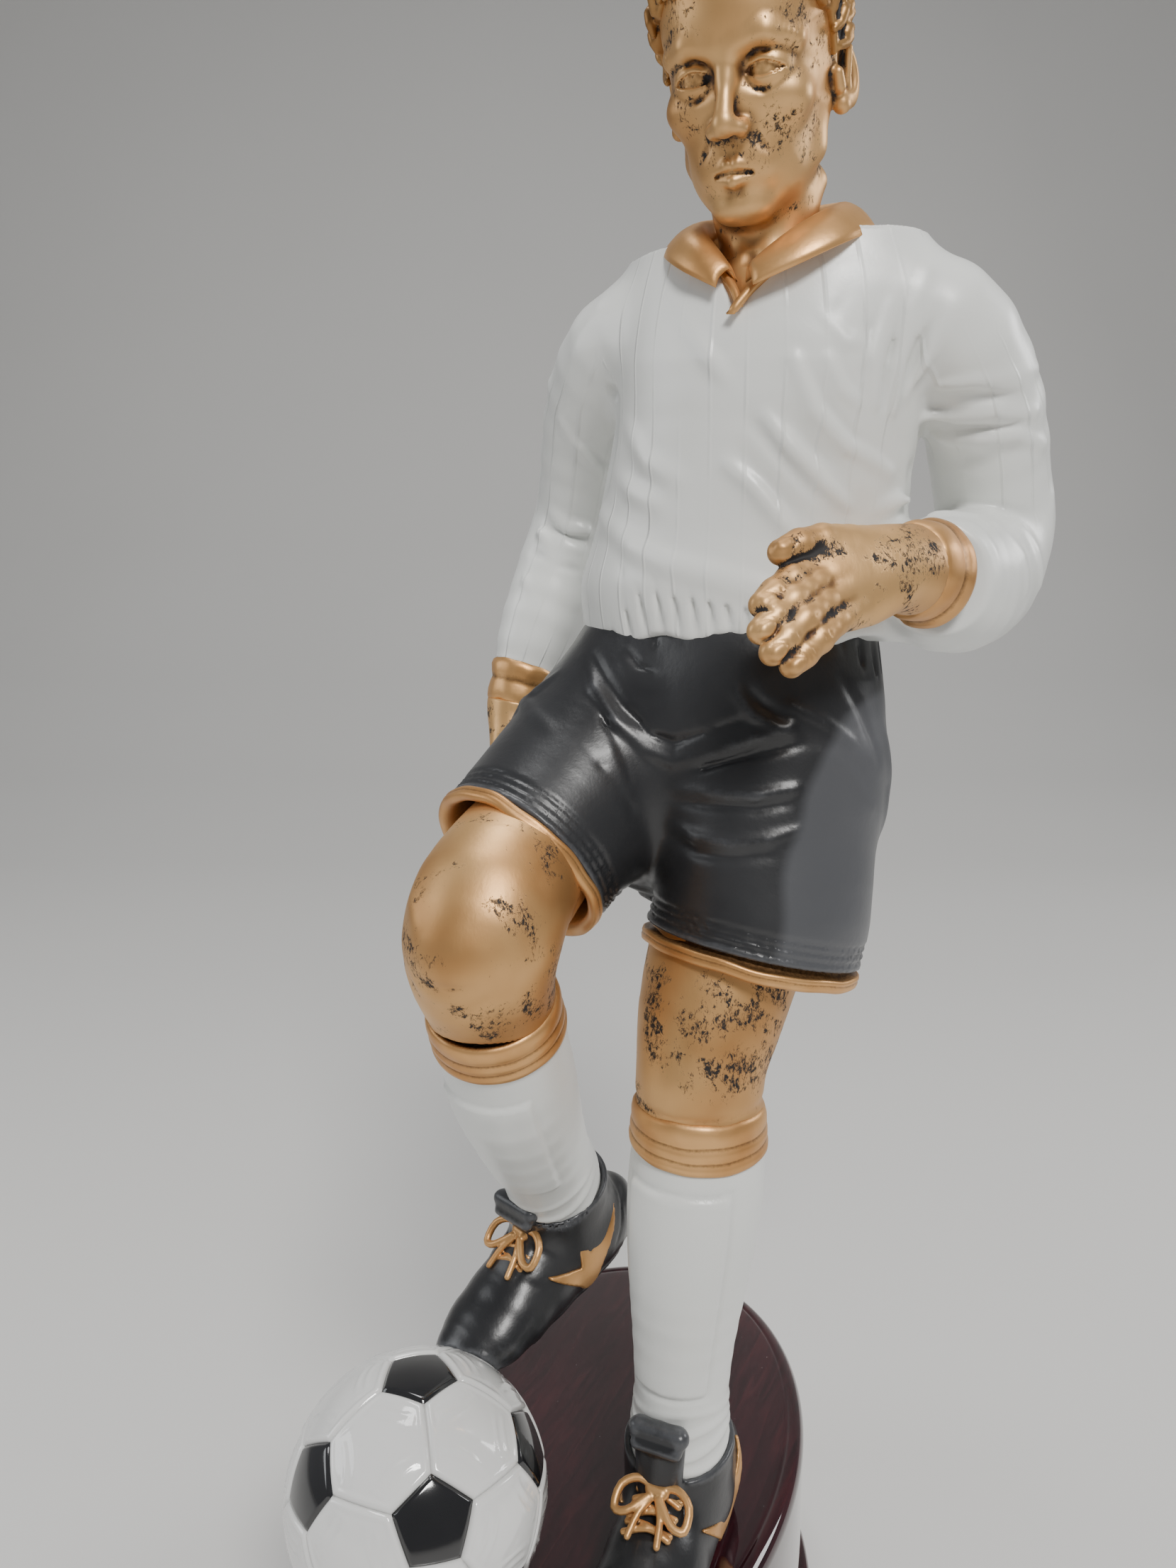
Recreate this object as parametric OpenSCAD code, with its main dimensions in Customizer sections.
// Figure trophy: a footballer about to roll a ball, on an oval two-tier plinth.
// Origin: centre of the underside of the felt sheet it stands on. +Z up, the figure faces -Y,
// its left hand is on +X. Millimetres.

/* [Plinth] */
// Short diameter of the oval plinth top
plinth_w = 120; // [114:1:140]
// Long diameter of the oval plinth top
plinth_l = 180; // [172:1:210]
// Height of the top face above the table
plinth_h = 68; // [64:1:76]
// Roundover of the plinth's top edge, measured on the long side
plinth_round = 4; // [2:0.5:6]
// Height of the wider lower tier
foot_h = 10.5; // [8:0.5:12]
// How far the lower tier stands out all round
foot_out = 4; // [3:0.5:8]
// Thickness of the felt sheet under the plinth
pad_t = 1.5; // [1:0.5:2.5]

/* [Ball] */
// Diameter of the ball
ball_d = 60; // [58:0.5:60]
// Width of one dark panel across its circumscribed circle
patch_d = 18.5; // [16:0.5:22]
// How far the dark panels stand proud of the white ball
patch_t = 0.35; // [0.25:0.05:0.6]

/* [Figure trim] */
// How far the sock turn-overs stand proud of the leg
band_out = 0.9; // [0.4:0.1:1.4]
// How far the cuffs stand proud of the wrist
cuff_out = 0.8; // [0.4:0.1:1.2]
// Thickness of the edge band round the shorts legs
hem_t = 2.6; // [1.6:0.2:3.4]

/* [Fasteners] */
// Shank diameter of the two screws up through the plinth
screw_d = 4; // [3:0.5:5]
// Head diameter of the screws
screw_head_d = 8; // [7:0.5:9]
// Diameter of the locating dowels between the castings
dowel_d = 5; // [3:0.5:6]

/* [Hidden] */
$fn = 48;
H = plinth_h;              // top face of the plinth
fit = 0.1;                 // clearance round dowels and screws
bore = 0.1;
BR = ball_d / 2;
BC = [-12, -61.5, H + BR - 0.3];   // ball centre, set down 0.3 mm on a small flat

SKIN = [0.72, 0.5, 0.26];
GOLD = [0.82, 0.6, 0.32];
BLACK = [0.06, 0.06, 0.07];
WHITE = [0.94, 0.94, 0.91];

// ---- paths of the limbs: [x, y, z above the plinth, half width, half depth] ----
// left leg, which stands: ankle to mid thigh
LLEG = [[37, -20, 27, 12, 13.5], [37.3, -20, 37, 11.2, 12.2], [38, -20.5, 56, 12, 13], [39.5, -22, 78, 14.3, 15],
        [41, -23, 96, 15.6, 16.2], [42, -24, 111, 15, 15.4], [42, -24, 121, 14.2, 15], [42.2, -23.4, 130, 14.2, 15.6],
        [43, -20.5, 140, 16, 16.5], [44.5, -15.5, 152, 17.2, 17.5], [46, -12, 159, 17.5, 18], [47.4, -9, 165, 17.5, 18]];
// right leg, which kicks: ankle to mid thigh
RLEG = [[-3, -6, 80, 11.6, 12.6], [-2, -12.5, 88, 11.4, 12.2], [-0.5, -24.5, 104, 12.6, 13.2], [1.2, -36.5, 122, 14.4, 14.8],
        [2.4, -45.5, 138.5, 14.6, 14.4], [3, -50, 147.5, 14.2, 14.2], [3.6, -54.5, 155, 16, 15.4], [4.4, -57, 163, 17.8, 17.2],
        [4.8, -52.6, 170.4, 17.6, 17.2], [4.8, -43, 175.4, 17, 16.8], [4.8, -33.4, 178.6, 16.4, 16.4], [5.8, -26.6, 181.6, 16, 16]];
// shorts legs: waist side to hem
LSH = [[46, 1, 212, 25, 26], [50, 0, 196, 26, 26], [50, -5, 178, 25, 25], [50.8, -9, 163, 24.4, 24], [49, -11, 153.6, 24.6, 24]];
RSH = [[20, 1, 206, 24, 25], [14, -6, 197, 24, 24.5], [8.5, -18, 187, 23, 23], [4.5, -29, 179, 21.8, 21.8], [2.6, -34.6, 175, 21.6, 21.6]];
PEL = [[38, 4, 222.5, 33.5, 23.5], [37, 3.5, 214, 36, 26], [35, 2.5, 204, 36.5, 27.5], [34, 0, 192, 34, 25.5]];
// jersey body: hem to neck
BODY = [[38, 4, 222.5, 35, 25], [38.5, 4, 230, 36, 26.4], [40.5, 3.6, 241, 35.4, 26.2], [43, 3, 256, 34.4, 25.6], [45, 2.5, 270, 33.8, 25.6],
        [46.4, 1.5, 283, 35, 25], [47, 0.8, 292, 35, 21.5], [47.4, 0, 299, 32, 17.5], [47.8, -1, 304, 25, 14], [48, -1.5, 307.5, 15, 12]];
// sleeves: inside the shoulder to the cuff
LARM = [[60, 1, 291, 12.5, 12.5], [76, 2.5, 291.5, 13, 13], [85, 8, 286, 13, 13.6], [90, 19, 274, 12.8, 13.2], [91.6, 29, 260, 12.6, 13],
        [92.4, 34, 250, 13, 13.6], [91, 28, 241, 13.6, 14.6], [89, 15, 237, 14, 15], [86.4, 2, 236.6, 13, 14.4], [84.6, -8.5, 238, 9.8, 11],
        [83.6, -13, 238.8, 8.8, 9.6], [81.6, -18, 239, 8.2, 8.6]];
RARM = [[32, 1, 290, 12.5, 12], [16, 1, 291.5, 13, 12.6], [6, 6, 286, 12.6, 12.6], [-2.5, 14, 276, 11.6, 12], [-8.6, 22.5, 262, 11, 11.6],
        [-12, 26.5, 252.5, 11.2, 12], [-15, 24, 240, 11.6, 12.4], [-18.6, 18.5, 226, 10.6, 11.2], [-21, 13.8, 214.5, 8.8, 9.2],
        [-22, 12.4, 209, 8, 8.4], [-22.6, 11.2, 204, 7.6, 8]];
HEADC = [46.5, -15, 338];  // middle of the head, above the plinth
NOD = 22;                  // the head looks down by this angle

// ---- helpers ----
function unit(v) = v / norm(v);
function at(S, i) = [S[i][0], S[i][1], S[i][2] + H];
function tang(S, i) = unit(at(S, min(i + 1, len(S) - 1)) - at(S, max(i - 1, 0)));
function ax_u(S, i, ref) = let (t = tang(S, i)) unit(ref - (ref * t) * t);
function ax_v(S, i, ref) = cross(tang(S, i), ax_u(S, i, ref));
function ring(S, i, ref, g, n) = let (c = at(S, i), u = ax_u(S, i, ref), v = ax_v(S, i, ref))
  [for (k = [0 : n - 1]) c + (S[i][3] + g) * cos(360 * k / n) * u + (S[i][4] + g) * sin(360 * k / n) * v];

// a closed loft through sections i0..i1 of a path, grown by g; neighbours share the end planes
module limb(S, i0, i1, ref = [1, 0, 0], g = 0, n = 24) {
  m = i1 - i0 + 1;
  pts = concat([for (i = [i0 : i1]) each ring(S, i, ref, g, n)], [at(S, i0), at(S, i1)]);
  side = [for (i = [0 : m - 2], k = [0 : n - 1]) let (a = i * n + k, b = i * n + (k + 1) % n)
    each [[a, a + n, b + n], [a, b + n, b]]];
  low = [for (k = [0 : n - 1]) [m * n, k, (k + 1) % n]];
  top = [for (k = [0 : n - 1]) [m * n + 1, (m - 1) * n + (k + 1) % n, (m - 1) * n + k]];
  polyhedron(pts, concat(side, low, top));
}
// a thin slice of a path, for hulling
module slice(S, i, ref = [1, 0, 0], g = 0, t = 0.2, off = 0, n = 24) {
  c = at(S, i); w = tang(S, i); u = ax_u(S, i, ref); v = ax_v(S, i, ref);
  multmatrix([[u[0], v[0], w[0], c[0]], [u[1], v[1], w[1], c[1]], [u[2], v[2], w[2], c[2]], [0, 0, 0, 1]])
    translate([0, 0, off]) linear_extrude(t, center = true) scale([S[i][3] + g, S[i][4] + g]) circle(1, $fn = n);
}
module chain(S, i0, i1, ref = [1, 0, 0], g = 0, n = 24) {
  for (i = [i0 : i1 - 1]) hull() { slice(S, i, ref, g, off = i == i0 ? 0.1 : 0, n = n); slice(S, i + 1, ref, g, off = i + 1 == i1 ? -0.1 : 0, n = n); }
}
module ball_at(p, r, n = 12) { translate([p[0], p[1], p[2] + H]) sphere(r, $fn = n); }
// a jointed finger or strand of balls
module strand(P, n = 10) {
  for (i = [0 : len(P) - 2]) hull() { ball_at(P[i], P[i][3], n); ball_at(P[i + 1], P[i + 1][3], n); }
}
// a dowel along the line from section i to section j, reaching e past both
module pin(S, i, j, e, d = dowel_d) {
  c = (at(S, i) + at(S, j)) / 2; w = unit(at(S, j) - at(S, i)); u = unit([1, 0, 0] - w[0] * w); v = cross(w, u);
  multmatrix([[u[0], v[0], w[0], c[0]], [u[1], v[1], w[1], c[1]], [u[2], v[2], w[2], c[2]], [0, 0, 0, 1]])
    cylinder(h = norm(at(S, j) - at(S, i)) + 2 * e, d = d, center = true, $fn = 24);
}
// a dowel along a path's direction at section i
module dowel(S, i, L, d = dowel_d) {
  c = at(S, i); w = tang(S, i); u = ax_u(S, i, [1, 0, 0]); v = ax_v(S, i, [1, 0, 0]);
  multmatrix([[u[0], v[0], w[0], c[0]], [u[1], v[1], w[1], c[1]], [u[2], v[2], w[2], c[2]], [0, 0, 0, 1]])
    cylinder(h = L, d = d, center = true);
}
// an oval slab, its top edge rounded by rnd
module oval(grow, z0, z1, rnd) {
  a = plinth_l / 2 + grow; b = plinth_w / 2 + grow; n = 80;
  lev = [[0, z0], [0, z1 - rnd], [rnd * 0.134, z1 - rnd * 0.5], [rnd * 0.5, z1 - rnd * 0.134], [rnd, z1]];   // inset, height
  m = len(lev);
  pts = [for (q = lev, k = [0 : n - 1]) [(b - q[0]) * cos(360 * k / n), (a - q[0]) * sin(360 * k / n), q[1]]];
  polyhedron(pts, concat([[for (k = [0 : n - 1]) k]], [for (k = [0 : n - 1]) [k + n, (k + 1) % n + n, (k + 1) % n, k]],
    [for (i = [1 : m - 2], k = [0 : n - 1]) let (p = i * n + k, q = i * n + (k + 1) % n) each [[p, p + n, q + n], [q + n, q, p]]],
    [[for (k = [0 : n - 1]) m * n - 1 - k]]));
}
// where the two screws stand: under the standing boot and under the ball
SCREWS = [[38, -24], [BC[0], BC[1]]];

// ---- plinth ----
module plinth_block() color([0.16, 0.03, 0.03]) difference() {
  oval(0, pad_t + foot_h, H, plinth_round);
  for (s = SCREWS) translate([s[0], s[1], 0]) cylinder(h = H + 1, d = screw_d + 2 * fit);
}
module plinth_foot() color([0.12, 0.02, 0.02]) difference() {
  oval(foot_out, pad_t, pad_t + foot_h, plinth_round * 0.6);
  for (s = SCREWS) translate([s[0], s[1], 0]) {
    cylinder(h = pad_t + foot_h + 1, d = screw_d + 2 * fit);
    cylinder(h = pad_t + 5.9, d = screw_head_d + 4);
  }
}
module felt_sheet() color([0.05, 0.09, 0.06]) oval(foot_out - 2.5, 0, pad_t, 0.3);
module fixing_screws() color([0.6, 0.6, 0.62])
  for (s = SCREWS) translate([s[0], s[1], pad_t + 5]) difference() {
    union() {
      translate([0, 0, -3.2]) cylinder(h = 3.2, d = screw_head_d);
      translate([0, 0, -0.5]) cylinder(h = H - pad_t - 5 + 12.5, d = screw_d);
    }
    translate([0, 0, -3.3]) cylinder(h = 1.9, d = 4.6, $fn = 6);
  }
module screw_washers() color([0.7, 0.7, 0.72])
  for (s = SCREWS) translate([s[0], s[1], pad_t + 5.001 - 0.001]) difference() {
    cylinder(h = 0.9, d = screw_head_d + 3);
    translate([0, 0, -1]) cylinder(h = 3, d = screw_d + 2 * fit);
  }

// ---- ball ----
module pent(i) {
  // the twelve panel centres lie on the corners of an icosahedron
  rotate(i == 0 ? [0, 0, 0] : i == 11 ? [180, 0, 36] : i < 6 ? [0, 0, 72 * i] : [0, 0, 72 * i + 36])
    rotate([0, (i == 0 || i == 11) ? 0 : i < 6 ? 63.435 : 116.565, 0]) {
      a = asin(patch_d / 2 / BR);
      q = (i > 0 && i < 6) ? -1 : 1;
      r = BR * 1.4 * tan(a);
      polyhedron(concat([[0, 0, 0]], [for (k = [0 : 4]) [q * r * cos(72 * k), q * r * sin(72 * k), BR * 1.4]]),
        concat([for (k = [0 : 4]) [0, k + 1, (k + 1) % 5 + 1]], [[5, 4, 3, 2, 1]]));
    }
}
BALL_TURN = [185, -115, 18];
module ball() color(WHITE) difference() {
  translate(BC) sphere(BR - patch_t);
  translate([BC[0], BC[1], H - 10]) cylinder(h = 10, r = BR);
  translate([BC[0], BC[1], H - 1]) cylinder(h = 16, d = screw_d + 2 * fit);
}
module ball_patches() color(BLACK) difference() {
  translate(BC) rotate(BALL_TURN) intersection() {
    difference() { sphere(BR); sphere(BR - patch_t); }
    union() for (i = [0 : 11]) pent(i);
  }
  translate([BC[0], BC[1], H - 10]) cylinder(h = 10.4, r = BR);
}

// ---- boots ----
// left boot stands on the plinth: sections from the heel to the toe
LBOOT = [[38, 1, 10, 5, 8], [38, -2, 11, 9, 11.5], [37.6, -8, 13, 11, 14], [37.4, -18, 13, 11.4, 15], [37.6, -28, 11.5, 11.4, 14.5],
         [38.2, -38, 9.5, 11.8, 12.5], [38.6, -48, 7.5, 12, 10.5], [38.8, -56, 6, 10.8, 8], [38.8, -61, 5, 7.6, 5.6], [38.8, -63.6, 4.6, 3.4, 3]];
// right boot, raised behind the ball, in its own frame: heel at the origin, toe along -Y, sole down
RBOOT = [[0, 0, 0, 5, 7.6], [0, -3, 0.6, 9, 11], [0, -9, 1.4, 10.8, 13], [0, -19, 1, 11.2, 13.6], [0, -29, -1, 11.4, 12],
         [0, -38, -3.4, 11.8, 9.8], [0, -46, -5, 11.4, 8], [0, -52, -6, 9, 6.4], [0, -55.6, -6.4, 4.4, 4]];
RB_AT = [3.8, 11.5, 66];
RB_TURN = [14, 0, -21];
module right_foot() { translate([RB_AT[0], RB_AT[1], RB_AT[2] + H]) rotate(RB_TURN) children(); }
module left_boot() color(BLACK) difference() {
  union() {
    chain(LBOOT, 0, 9);
    chain([[37, -19.5, 16, 12.5, 14.5], [37, -19.8, 29, 13.4, 14.8]], 0, 1);
    // the tongue, folded over at its top
    hull() { ball_at([36.4, -34, 24], 1.6); ball_at([31.4, -32, 40], 1.5); ball_at([42.4, -32, 40], 1.5); }
    hull() { ball_at([31, -33.5, 41.5], 2.2); ball_at([43, -33.5, 41.5], 2.2); }
  }
  translate([-100, -100, H - 50]) cube([300, 200, 50]);
  chain(LLEG, 0, 2, g = 0.05);
  translate([SCREWS[0][0], SCREWS[0][1], H - 1]) cylinder(h = 14, d = screw_d + 2 * fit);
}
module left_boot_laces() color(GOLD) difference() {
  union() {
    for (y = [-36, -39.5, -43]) hull() { ball_at([32.5, y, 24.6 + (y + 36) * 0.42], 1.1, 8); ball_at([43.5, y - 1, 24.6 + (y + 36) * 0.42], 1.1, 8); }
    strand([[37.8, -37, 26.6, 1.2], [31.5, -38.5, 28.4, 1.3], [30, -43, 25.4, 1.2], [36, -42, 25, 1.1]], 8);
    strand([[37.8, -37, 26.6, 1.2], [44.5, -39, 28, 1.3], [46, -43.5, 24.6, 1.2], [39.5, -42, 25, 1.1]], 8);
    ball_at([37.8, -38, 27], 2);
  }
  chain(LBOOT, 2, 8, g = 0.05);
}
module left_boot_stripe() color(GOLD) intersection() {
  difference() { chain(LBOOT, 1, 7, g = 0.7); chain(LBOOT, 0, 8, g = 0.05); }
  union() {
    hull() { translate([48, -9, H + 9]) sphere(2.4, $fn = 16); translate([48, -26, H + 9]) sphere(3.4, $fn = 16); translate([48, -34, H + 17]) sphere(1.4, $fn = 16); }
    hull() { translate([27, -9, H + 9]) sphere(2.4, $fn = 16); translate([27, -26, H + 9]) sphere(3.4, $fn = 16); translate([27, -34, H + 17]) sphere(1.4, $fn = 16); }
  }
}
module right_boot() color(BLACK) difference() {
  union() {
    right_foot() translate([0, 0, -H]) chain(RBOOT, 0, 8);
    chain([[-3.4, -3, 70, 12.6, 14], [-2.8, -6.6, 81.5, 13, 14.4]], 0, 1);
    right_foot() translate([0, 0, -H]) {
      hull() { ball_at([0, -27, 9], 1.8); ball_at([-5.4, -27.5, 21], 1.6); ball_at([5.4, -27.5, 21], 1.6); }
      hull() { ball_at([-6, -29, 21.6], 2); ball_at([6, -29, 21.6], 2); }
    }
  }
  chain(RLEG, 0, 2, g = 0.05);
  translate(BC) sphere(BR + 0.15);
}
module right_boot_laces() color(GOLD) right_foot() translate([0, 0, -H]) difference() {
  union() {
    for (y = [-27, -30.5, -34]) hull() { ball_at([-5, y, 9.6 + (y + 27) * 0.4], 1.1, 8); ball_at([5, y - 1, 9.6 + (y + 27) * 0.4], 1.1, 8); }
    strand([[0, -28, 12, 1.2], [-6, -29.5, 13, 1.3], [-7, -34, 10, 1.2], [-1, -33, 9.6, 1.1]], 8);
    strand([[0, -28, 12, 1.2], [6, -30, 13, 1.3], [7, -34, 9.6, 1.2], [1.5, -33, 9.6, 1.1]], 8);
    ball_at([0, -29, 12.4], 1.9);
  }
  chain(RBOOT, 2, 7, g = 0.05);
}
module right_boot_stripe() color(GOLD) right_foot() translate([0, 0, -H]) intersection() {
  difference() { chain(RBOOT, 1, 6, g = 0.7); chain(RBOOT, 0, 7, g = 0.05); }
  for (q = [-1, 1]) hull() { ball_at([q * 11, -8, -1], 2.2); ball_at([q * 11, -22, -2], 3.2); ball_at([q * 11, -31, 4.5], 1.4); }
}

// ---- socks and legs ----
module left_sock() color(WHITE) difference() { limb(LLEG, 0, 5); pin(LLEG, 5, 6, 6, dowel_d + 2 * bore); }
module left_sock_band() color(GOLD) difference() { limb(LLEG, 5, 6, g = band_out); pin(LLEG, 5, 6, 6, dowel_d + 2 * bore); }
module left_leg() color(SKIN) difference() { limb(LLEG, 6, 11); pin(LLEG, 5, 6, 6, dowel_d + 2 * bore); }
module right_sock() color(WHITE) difference() { limb(RLEG, 0, 4); pin(RLEG, 4, 5, 6, dowel_d + 2 * bore); }
module right_sock_band() color(GOLD) difference() { limb(RLEG, 4, 5, g = band_out); pin(RLEG, 4, 5, 6, dowel_d + 2 * bore); }
module right_leg() color(SKIN) difference() {
  union() {
    chain(RLEG, 5, 11);
    hull() { ball_at([4, -66, 160], 8); ball_at([4.6, -65, 166], 9); }
    hull() { ball_at([-6, -55, 163], 7); ball_at([14, -55, 163], 7); }
  }
  pin(RLEG, 4, 5, 6, dowel_d + 2 * bore);
}

// ---- shorts ----
// the last part of each leg, which the gold edge bands take the place of
LEND = [[49.28, -10.6, 155.2, 25.4, 24.8], [49, -11, 153.6, 25.4, 24.8], [48.6, -11.5, 150.6, 25.4, 24.8]];
REND = [[3.9, -31, 177.6, 22.4, 22.4], [2.6, -34.6, 175, 22.4, 22.4], [0.6, -40, 171, 22.4, 22.4]];
module shorts() color(BLACK) difference() {
  union() {
    chain(PEL, 0, 3, n = 32);
    chain(LSH, 0, 4, n = 32);
    chain(RSH, 0, 4, n = 32);
  }
  chain(LEND, 0, 2, g = 1, n = 32);
  chain(REND, 0, 2, g = 1, n = 32);
  // open legs, deep enough for the lining to be seen
  chain([[48.6, -11.6, 149, 21.4, 21], [50.6, -9, 160, 21.2, 20.8]], 0, 1, n = 32);
  chain([[5.8, -26, 181.6, 18.9, 18.9], [1.2, -38, 172.6, 18.9, 18.9]], 0, 1, n = 32);
  limb(LLEG, 8, 11);
  chain(RLEG, 8, 11, g = 0.05, n = 32);
  dowel(PEL, 0, 14, dowel_d + 2 * bore);
}
module left_hem_band() color(GOLD) difference() {
  hull() { slice(LSH, 4, g = 0.6, off = 0.4, n = 32); slice(LSH, 4, g = 0.6, off = -hem_t / 2, n = 32); }
  chain([[48.6, -11.6, 147, 21.5, 21.1], [50.8, -8.8, 161, 21.3, 20.9]], 0, 1, n = 32);
}
module right_hem_band() color(GOLD) difference() {
  hull() { slice(RSH, 4, g = 0.6, off = 0.4, n = 32); slice(RSH, 4, g = 0.6, off = -hem_t / 2, n = 32); }
  chain([[6, -25.4, 182, 19, 19], [0.8, -39, 171.8, 19, 19]], 0, 1, n = 32);
}

// ---- jersey ----
module half_left() { translate([78, 0, 287 + H]) rotate([0, 5, 0]) translate([0, -150, -150]) cube([200, 300, 300]); }
module half_right() { translate([12, 0, 287 + H]) rotate([0, 9, 0]) translate([-200, -150, -150]) cube([200, 300, 300]); }
module jersey_body() color(WHITE) difference() {
  limb(BODY, 0, 9, n = 32);
  half_left();
  half_right();
  translate([-50, -100, H + 305]) cube([200, 200, 50]);
  dowel(PEL, 0, 14, dowel_d + 2 * bore);
  dowel(BODY, 8, 20, dowel_d + 2 * bore);
}
module left_sleeve() color(WHITE) intersection() { half_left(); difference() { chain(LARM, 0, 9); pin(LARM, 9, 11, 4.5, 4 + 2 * bore); } }
module right_sleeve() color(WHITE) intersection() { half_right(); difference() { chain(RARM, 0, 8); pin(RARM, 8, 10, 4.5, 4 + 2 * bore); } }
module left_cuff() color(GOLD) difference() { limb(LARM, 9, 11, g = cuff_out); pin(LARM, 9, 11, 4.5, 4 + 2 * bore); }
module right_cuff() color(GOLD) difference() { limb(RARM, 8, 10, g = cuff_out); pin(RARM, 8, 10, 4.5, 4 + 2 * bore); }
module collar() color(GOLD) difference() {
  union() {
    for (k = [0 : 15]) let (a = 360 * k / 16, b = a + 22.5) hull() for (q = [a, b]) {
      translate([47.8 + 13.6 * sin(q), -3 - 13 * cos(q), H + 304 - 4 * cos(q)]) sphere(1.6, $fn = 10);
      translate([47.8 + 11.8 * sin(q), -3.4 - 12 * cos(q), H + 309.6 - 5.4 * cos(q)]) sphere(1.2, $fn = 10);
    }
    for (s = [-1, 1]) hull() {
      ball_at([47.8 + s * 15, -9, 303], 1.5); ball_at([47.8 + s * 12, -19, 297], 1.3); ball_at([47.8 + s * 2, -21.5, 292], 1.3); ball_at([47.8 + s * 9, -13, 306], 1.5);
    }
  }
  limb(BODY, 0, 9, n = 32);
  neck(0.05);
}

// ---- hands ----
module left_hand() color(SKIN) difference() {
  union() {
    hull() { slice(LARM, 11, off = 0.12); ball_at([77.4, -26, 237.4], 6); ball_at([77, -23.6, 241], 5.4); }
    hull() { ball_at([77.4, -26, 238], 6); ball_at([69.6, -35, 240], 4.2); ball_at([75, -39.4, 231], 4); ball_at([76, -32, 234.6], 5); }
    strand([[69.6, -35.6, 239.6, 3.8], [65, -43.6, 236.6, 3.4], [61.4, -50.6, 232.4, 2.8]]);
    strand([[71.2, -37.6, 236.8, 3.8], [66, -46.6, 233, 3.4], [62.4, -53.4, 228, 2.8]]);
    strand([[73, -39.4, 233.8, 3.8], [68.4, -47.6, 229.6, 3.4], [64.8, -53.8, 224.4, 2.8]]);
    strand([[74.8, -40, 230.6, 3.6], [71, -46.6, 226.2, 3.2], [67.6, -51.8, 221.8, 2.7]]);
    strand([[73.6, -29, 242.6, 3.8], [67.4, -37, 243.6, 3.4], [62.4, -44, 242, 2.8]]);
  }
  pin(LARM, 9, 11, 4.5, 4 + 2 * bore);
}
module right_hand() color(SKIN) difference() {
  union() {
    hull() { slice(RARM, 10, off = 0.12); ball_at([-23, 10.4, 198], 6.4); }
    hull() { ball_at([-23, 10.4, 198], 6.2); ball_at([-23.4, 15, 189], 4); ball_at([-22.6, 4, 189], 4.2); }
    strand([[-22.4, 3.6, 188, 3.6], [-21.6, 1.6, 181, 3.3], [-20, 1.6, 175, 2.8]]);
    strand([[-22.8, 7.2, 187, 3.7], [-21.8, 6, 179, 3.4], [-19.8, 6, 172.6, 2.8]]);
    strand([[-23.2, 11, 187, 3.6], [-22, 10.4, 179.6, 3.3], [-20, 10.4, 173.4, 2.8]]);
    strand([[-23.4, 14.6, 188, 3.4], [-22.4, 14.6, 182, 3], [-20.6, 14.6, 177, 2.6]]);
    strand([[-20, 5, 199, 4], [-16.4, 0.4, 192, 3.5], [-15.4, -1.6, 185.6, 2.9]]);
  }
  pin(RARM, 8, 10, 4.5, 4 + 2 * bore);
}

// ---- head ----
SKULL = [[0, -9.4, -25.6, 4.4, 4], [0, -8, -24, 7.6, 8.4], [0, -5.4, -20, 10.8, 12.4], [0, -3, -13, 14, 16.4], [0, -1.6, -5, 16.2, 19], [0, -0.4, 4, 17.2, 20.6],
         [0, 0.2, 12, 17, 20.8], [0, 1, 19, 14.6, 18.6], [0, 1.6, 24, 10.4, 13.6], [0, 1.8, 26.6, 5, 6.6], [0, 1.8, 27.2, 1.6, 2]];
module in_head() { translate([HEADC[0], HEADC[1], HEADC[2] + H]) rotate([NOD, 0, 0]) translate([0, 0, -H]) children(); }
module neck(g = 0) { chain([[48, -3, 300, 10.4, 11], [47.8, -5, 308, 10.2, 10.8], [47.4, -8, 316, 10.8, 11.4], [47, -11, 324, 11.4, 12.4]], 0, 3, g = g); }
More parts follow.
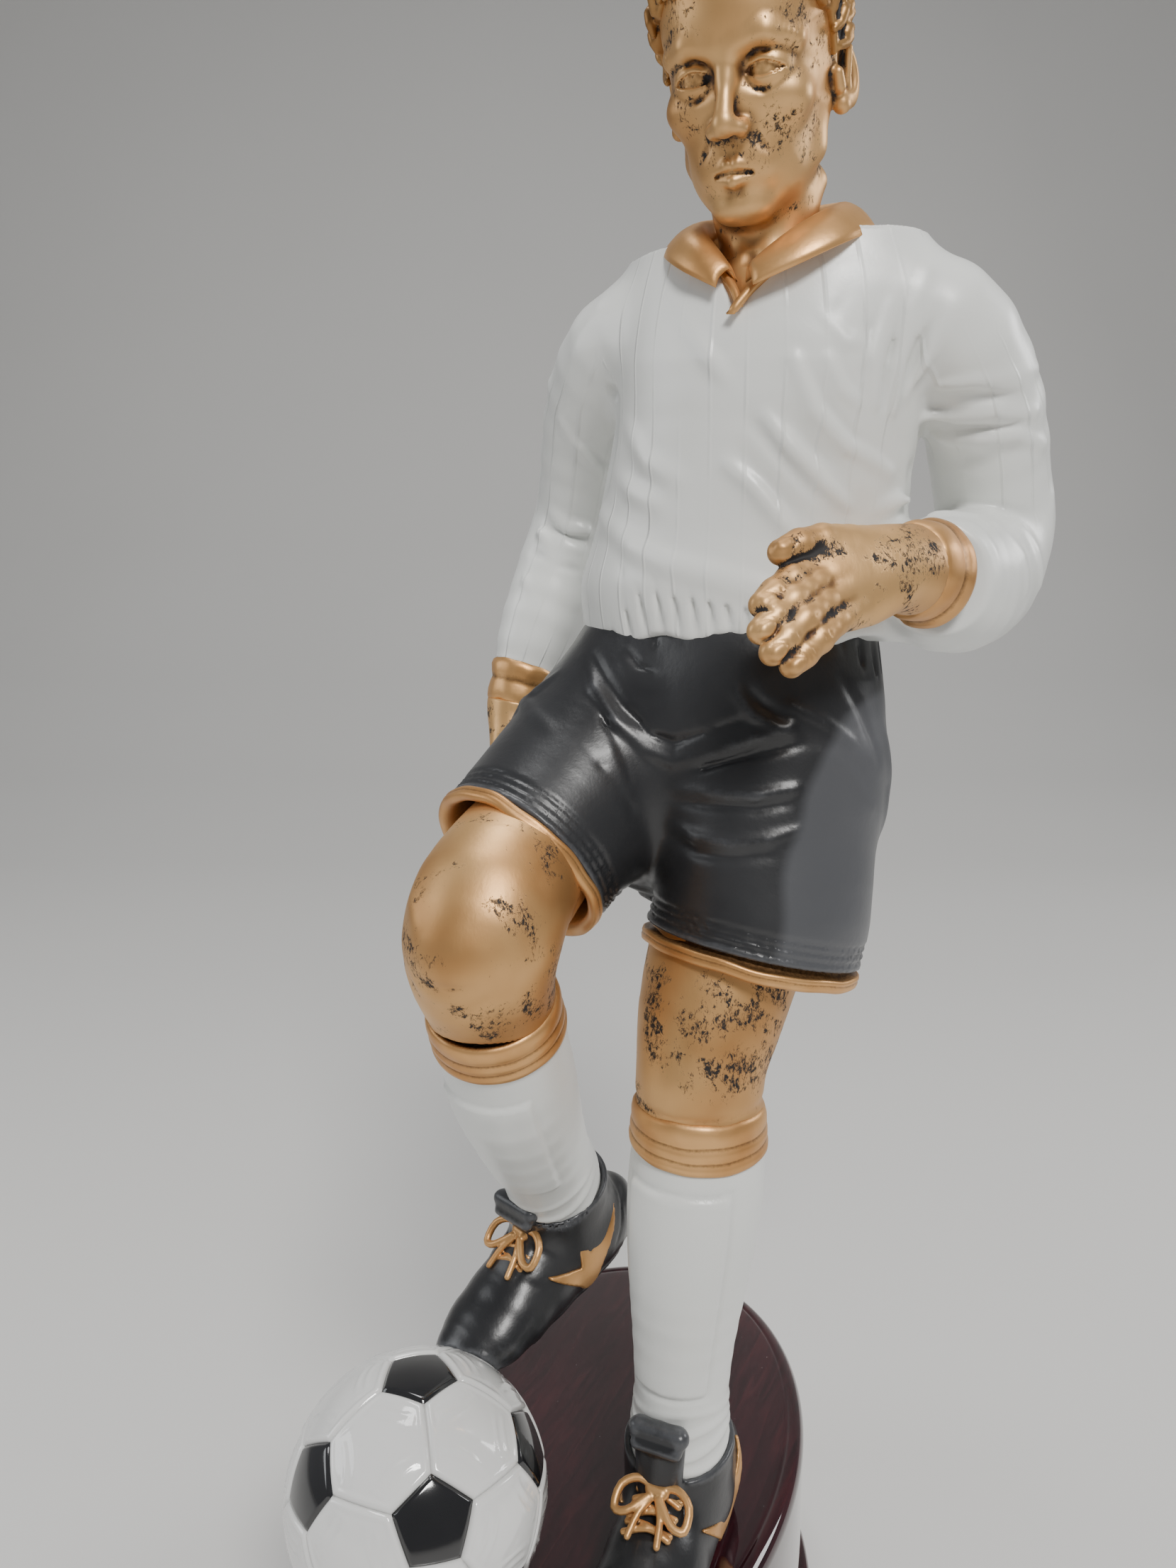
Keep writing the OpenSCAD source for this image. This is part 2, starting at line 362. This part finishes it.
module head_solid() {
  neck();
  in_head() {
    chain(SKULL, 0, 10, ref = [1, 0, 0]);
    hull() { ball_at([0, -20.4, 4], 1.6); ball_at([0, -24.4, -6], 2.2); ball_at([-3, -20.4, -7], 2); ball_at([3, -20.4, -7], 2); }
    hull() { ball_at([-4.6, -17.4, -13.6], 2.2); ball_at([4.6, -17.4, -13.6], 2.2); ball_at([0, -18.4, -13.4], 2.8); }
    hull() { ball_at([0, -14.6, -23], 3.6); ball_at([-4, -12, -22.6], 3); ball_at([4, -12, -22.6], 3); }
    for (s = [-1, 1]) {
      hull() { ball_at([s * 17.2, 1.6, 6], 1.6); ball_at([s * 19, 4.4, 5], 1.4); ball_at([s * 16.6, 0.8, -6], 1.6); ball_at([s * 18, 3.4, -2], 1.4); }
      hull() { ball_at([s * 3, -19.6, 6.6], 1.6); ball_at([s * 11, -15.6, 7.4], 1.6); }
    }
  }
}
module head() color(SKIN) difference() {
  head_solid();
  translate([-50, -100, H + 255]) cube([200, 200, 50]);
  dowel(BODY, 8, 20, dowel_d + 2 * bore);
}
module hair() color([0.45, 0.3, 0.14]) difference() {
  in_head() intersection() {
    union() {
      chain(SKULL, 4, 10, g = 2.6);
      for (k = [-3 : 3]) strand([[k * 4.5, -17.5 + abs(k) * 0.8, 20 - abs(k) * 1.5, 2.6], [k * 5, -8, 25.6 - abs(k) * 2, 2.8], [k * 5, 4, 26.4 - abs(k) * 2.1, 2.8], [k * 4.5, 15, 17.6 - abs(k) * 1.3, 2.8]]);
    }
    // hairline: high at the forehead, low at the nape
    translate([0, -18.6, 16 + H]) rotate([-42, 0, 0]) translate([-60, -60, 0]) cube([120, 140, 100]);
  }
  head_solid();
}

module locating_dowels() color([0.75, 0.75, 0.77]) {
  dowel(PEL, 0, 13.6);
  dowel(BODY, 8, 19.6);
  pin(LLEG, 5, 6, 5.8); pin(RLEG, 4, 5, 5.8);
  pin(LARM, 9, 11, 4.3, 4); pin(RARM, 8, 10, 4.3, 4);
}
plinth_block();
plinth_foot();
felt_sheet();
fixing_screws();
screw_washers();
ball();
ball_patches();
left_boot();
left_boot_laces();
left_boot_stripe();
left_sock();
left_sock_band();
left_leg();
right_boot();
right_boot_laces();
right_boot_stripe();
right_sock();
right_sock_band();
right_leg();
shorts();
left_hem_band();
right_hem_band();
jersey_body();
left_sleeve();
right_sleeve();
left_cuff();
right_cuff();
left_hand();
right_hand();
collar();
head();
hair();
locating_dowels();
